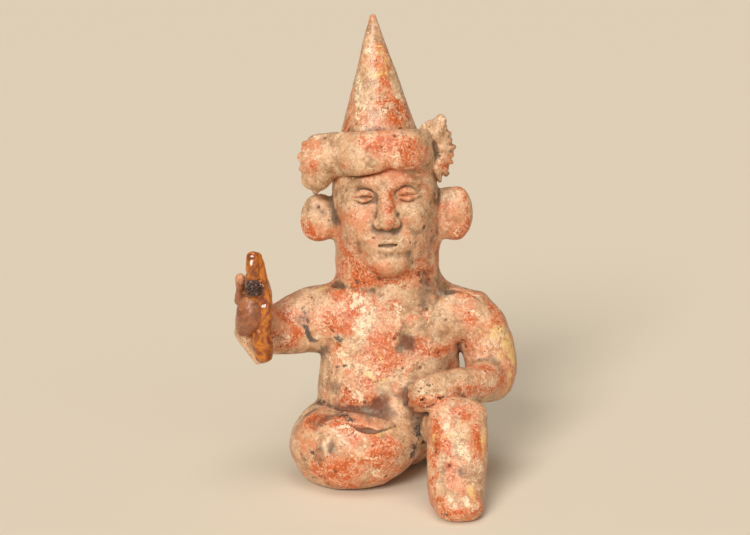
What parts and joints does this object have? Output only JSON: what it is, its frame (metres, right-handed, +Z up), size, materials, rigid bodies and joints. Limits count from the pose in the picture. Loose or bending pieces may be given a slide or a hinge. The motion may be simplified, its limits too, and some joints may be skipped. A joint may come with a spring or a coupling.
{
  "type": "seated ceramic figure",
  "caption": "Seated clay figure in a tall cone hat and rolled headband, one leg folded flat, one knee raised, holding up a short glossy rod.",
  "frame": {"origin": "on the ground, under the middle of the whole figure's box", "axes": "+Z up, the figure faces -Y, its right hand is on the -X side"},
  "size_m": [0.2556, 0.2248, 0.4223],
  "materials": {
    "fired_clay": "burnished buff clay with worn red slip",
    "amber_glaze": "glossy amber brown"
  },
  "bodies": {
    "root": {"figure": "fired_clay", "held_implement": "amber_glaze"}
  },
  "joints": []
}
